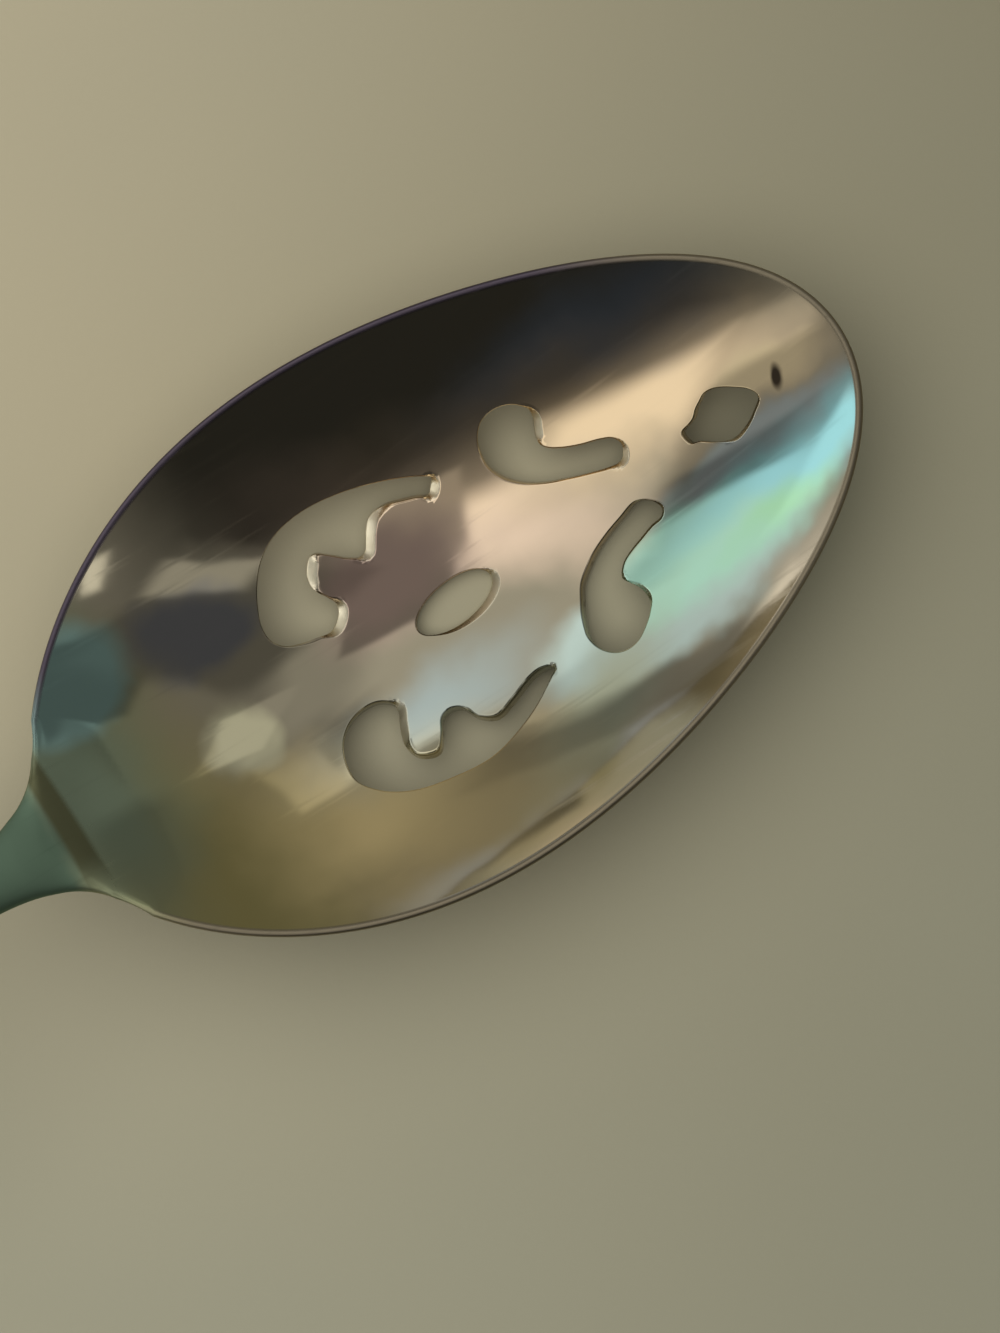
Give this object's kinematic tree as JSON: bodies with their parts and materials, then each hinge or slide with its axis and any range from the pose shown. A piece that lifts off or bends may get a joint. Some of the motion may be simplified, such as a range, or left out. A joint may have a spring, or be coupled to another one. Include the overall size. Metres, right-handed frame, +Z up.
{
  "type": "pierced serving spoon",
  "caption": "Pierced serving spoon: egg-shaped bowl with sawn scroll openings, slender neck, beaded collar and a hollow arched handle.",
  "frame": {"origin": "on the table the spoon lies on, under the middle of its bounding box", "axes": "+X runs along the spoon from the butt of the handle to the tip of the bowl, +Y runs across it, +Z points up out of the open bowl"},
  "size_m": [0.214, 0.0464, 0.0273],
  "materials": {
    "polished_bowl": "mirror polish under a thin iridescent tarnish film",
    "turned_silver": "turned and polished",
    "stamped_silver": "polished, with fine wear from use",
    "cement": "dull set cement"
  },
  "bodies": {
    "root": {"pierced_bowl": "polished_bowl", "handle_collar": "turned_silver", "handle_front_shell": "stamped_silver", "handle_back_shell": "stamped_silver", "handle_core": "cement"}
  },
  "joints": []
}
